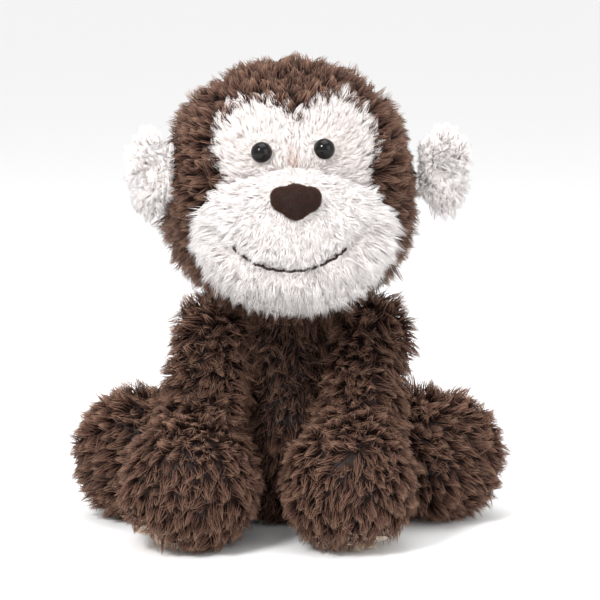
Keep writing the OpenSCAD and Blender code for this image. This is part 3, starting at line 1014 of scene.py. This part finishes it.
nose_skin = welded_copy("nose_skin", ["nose"])
nose_w = nose_hi[0] - nose_lo[0]
for x, y, z, r in ((-0.23, 0.12, 0.06, 0.26), (0.23, 0.12, 0.06, 0.26), (0, 0.1, -0.06, 0.29), (0, 0.08, 0.07, 0.31)):
    add_ball(nose_skin, nose_c + np.array([x, y, z]) * nose_w, r * nose_w)
skins["nose"] = remeshed(nose_skin, 0.0007, 6, 0.0005)
nose_groom = groom_of(
    lambda p, n: DOWN * 1.0 + from_point(p, nose_c) * 0.4,
    0.55,
    0.0009,
    # painted sheen: the velour is lighter toward the top of the nose
    lambda p: 0.3 + 0.6 * ease(p[:, 2], nose_c[2] - 0.001, nose_hi[2]),
    lock_mm2=0.8,
    lock_turn=0.08,
    lock_shade=0.02,
    width=0.00008,
    fleck=0.008,
    droop=0.0,
)
everywhere = np.ones(len(skins["nose"].data.polygons), bool)
plush_panel("nose", "nose", everywhere, nose_groom, 12000, nose_pile)


def on_muzzle(x, z):
    """The muzzle skin's front at that place, and its normal."""
    place, normal, _, _ = trees["muzzle"].ray_cast(Vector((x, muzzle_lo[1] - 0.05, z)), Vector((0, 1, 0)))
    return np.array(place), np.array(normal)


def twisted_stitch(points, normals, radius, turns):
    """Two plies wound round a stitch's line, each a closed tube: vertices, corners and face sizes."""
    vertices, loops, sizes = [], [], []
    n = len(points)
    ahead = unit(np.gradient(points, axis=0))
    side = unit(np.cross(ahead, normals))
    rise = np.cross(side, ahead)
    for ply in (0.0, math.pi):
        base = len(vertices)
        angle = ply + np.linspace(0, 2 * math.pi * turns, n)[:, None]
        line = points + (side * np.cos(angle) + rise * np.sin(angle)) * radius * 0.48
        for i in range(n):
            for k in range(6):
                a = 2 * math.pi * k / 6
                vertices.append(line[i] + (side[i] * math.cos(a) + rise[i] * math.sin(a)) * radius * 0.56)
        for i in range(n - 1):
            for k in range(6):
                a, b = base + i * 6 + k, base + i * 6 + (k + 1) % 6
                loops += [a, b, b + 6, a + 6]
                sizes.append(4)
        loops += [base + k for k in reversed(range(6))] + [base + (n - 1) * 6 + k for k in range(6)]
        sizes += [6, 6]
    return vertices, loops, sizes


vertices, loops, sizes = [], [], []
reach = math.degrees(math.asin(min(1.0, smile_half / smile_r)))
for i in range(STITCHES):
    middle_angle = -reach + (2 * reach) * (i + 0.5) / STITCHES
    half = reach / STITCHES * 0.93
    line, normals = [], []
    for a in np.linspace(middle_angle - half, middle_angle + half, 13):
        x = smile_c[0] + smile_r * math.sin(math.radians(a))
        z = smile_c[1] - smile_r * math.cos(math.radians(a))
        place, normal = on_muzzle(x, z)
        arch = 1 - ((a - middle_angle) / half) ** 2
        line.append(place + normal * (0.0006 + 0.0034 * math.sqrt(max(0.0, arch))))
        normals.append(normal)
    thread_points, thread_loops, thread_sizes = twisted_stitch(np.array(line), np.array(normals), STITCH_R, 2.0)
    loops += [k + len(vertices) for k in thread_loops]
    vertices += thread_points
    sizes += thread_sizes
starts = np.concatenate([[0], np.cumsum(sizes)[:-1]])
mouth = built("mouth_thread_stitches", np.array(vertices), np.array(loops), starts, np.zeros((len(loops), 2)))
mouth.data.uv_layers.remove(mouth.data.uv_layers[UV_NAME])
mouth.data.materials.append(thread)
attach(mouth, "head")
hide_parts("mouth_stitch")

# loose fibre fills each skin right up to its cloth
for skin_name in PUFFED + ("tail",):
    node = SKINS[skin_name][0][0]
    fill = skins[skin_name].copy()
    fill.data = skins[skin_name].data.copy()
    fill.name = node.replace("stuffing", "fibre")
    fill.data.name = fill.name
    bpy.context.scene.collection.objects.link(fill)
    co = places(fill.data) - FILL_DEPTH * vertex_normals(fill.data)
    co[:, 2] = np.maximum(co[:, 2], FILL_DEPTH)
    set_places(fill.data, co)
    fill.data.materials.clear()
    fill.data.materials.append(polyester)
    fill.vertex_groups.clear()
    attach(fill, BODY_OF.get(skin_name, node_body[node]))
    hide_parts(node)

CAD_LOOKS = {
    "eye_left": eye_gloss,
    "eye_right": eye_gloss,
    "eye_washer_left": washer_plastic,
    "eye_washer_right": washer_plastic,
    "bean_pouch": cotton,
    "shoulder_seam_left": band_cloth,
    "shoulder_seam_right": band_cloth,
}
for node, obj in frame["nodes"].items():
    if node.endswith("_stuffing"):
        CAD_LOOKS[node] = polyester
for node, material in CAD_LOOKS.items():
    obj = frame["nodes"][node]
    for i in range(max(1, len(obj.material_slots))):
        if i < len(obj.material_slots):
            obj.material_slots[i].material = material
        else:
            obj.data.materials.append(material)

for obj in skins.values():
    bpy.data.objects.remove(obj)


# ---------- floor, light and camera ----------

bpy.ops.mesh.primitive_plane_add(size=80.0, location=(0, 0, 0))
floor = bpy.context.object
floor.name = "floor"
floor_material, _, _, shader = new_material("floor_paper")
shader.inputs["Base Color"].default_value = (0.9, 0.9, 0.9, 1.0)
shader.inputs["Roughness"].default_value = 0.9
floor.data.materials.append(floor_material)

world = bpy.data.worlds.new("soft_room")
bpy.context.scene.world = world
world.use_nodes = True
world.node_tree.nodes["Background"].inputs[0].default_value = (1.0, 1.0, 1.0, 1.0)
world.node_tree.nodes["Background"].inputs[1].default_value = 1.0


def softbox(name, place, aim, size, power):
    """An area light that faces a point."""
    data = bpy.data.lights.new(name, "AREA")
    data.shape = "RECTANGLE"
    data.size, data.size_y = size
    data.energy = power
    lamp = bpy.data.objects.new(name, data)
    bpy.context.scene.collection.objects.link(lamp)
    lamp.location = place
    lamp.rotation_mode = "QUATERNION"
    lamp.rotation_quaternion = (Vector(aim) - Vector(place)).to_track_quat("-Z", "Y")
    return lamp


middle = sum((np.array(c) for c in cad_box), np.zeros(3)) / 2
softbox("key", (-0.55, -0.9, 0.95), middle, (0.3, 0.3), 15)
softbox("fill", (0.9, -0.8, 0.5), middle, (0.9, 0.9), 5)
softbox("top", (0.05, -0.1, 1.25), middle, (0.9, 0.9), 7)

bpy.context.scene.view_settings.view_transform = "Standard"

camera_data = bpy.data.cameras.new("camera")
camera_data.lens = 150.0
camera_data.sensor_width = 36.0
camera_data.dof.use_dof = False
camera = bpy.data.objects.new("camera", camera_data)
bpy.context.scene.collection.objects.link(camera)
bpy.context.scene.camera = camera
aim = Vector((middle[0] + 0.006, 0.0, middle[2] - 0.0065))
elevation, distance = math.radians(8.0), 1.3
camera.location = aim + Vector((0, -math.cos(elevation), math.sin(elevation))) * distance
camera.rotation_mode = "QUATERNION"
camera.rotation_quaternion = (aim - camera.location).to_track_quat("-Z", "Y")
camera_data.clip_start, camera_data.clip_end = 0.05, 20.0
